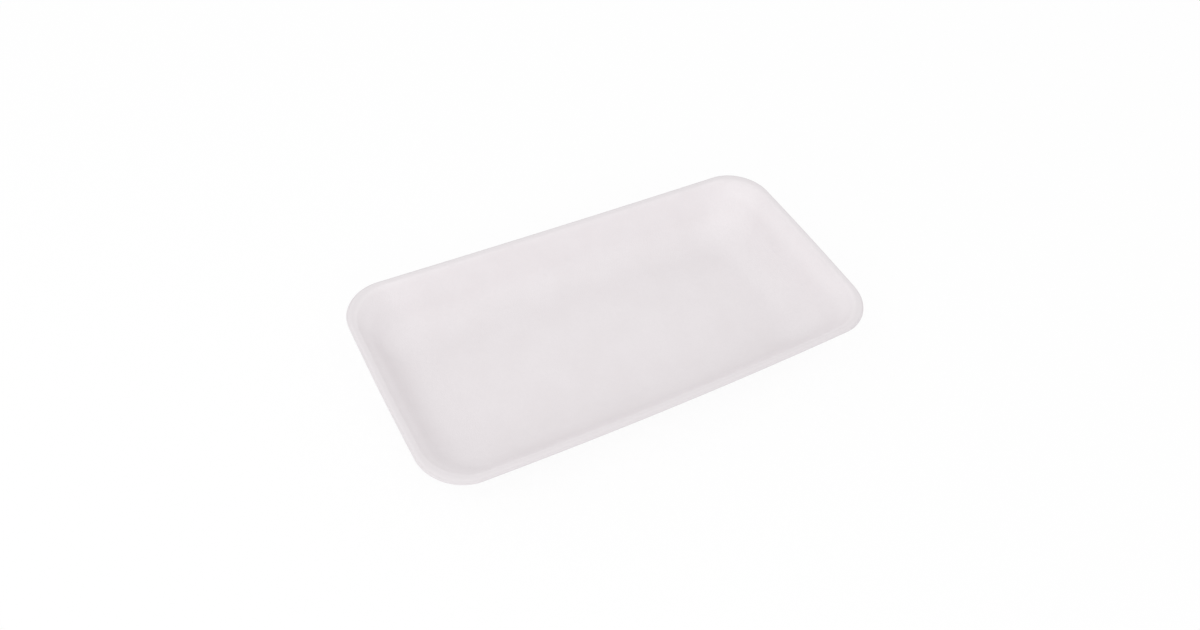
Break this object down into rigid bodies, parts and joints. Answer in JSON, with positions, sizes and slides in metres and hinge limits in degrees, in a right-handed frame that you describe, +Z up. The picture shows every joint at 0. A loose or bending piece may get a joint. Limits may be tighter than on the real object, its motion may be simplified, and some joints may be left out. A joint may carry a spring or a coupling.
{
  "type": "foam meat tray",
  "caption": "Shallow rectangular foam tray with a flat floor, steep walls that scoop up out of it, rounded corners and a narrow lip that rolls over at the rim.",
  "frame": {"origin": "centre of the flat base, at the level the tray stands on", "axes": "+X along the tray's length, +Y across it, +Z up out of the dish"},
  "size_m": [0.204, 0.1048, 0.0245],
  "materials": {
    "foam": "smooth closed skin of extruded polystyrene foam, white with a faint warm pink cast, soft satin, fine cells just showing"
  },
  "bodies": {
    "root": {"tray": "foam"}
  },
  "joints": []
}
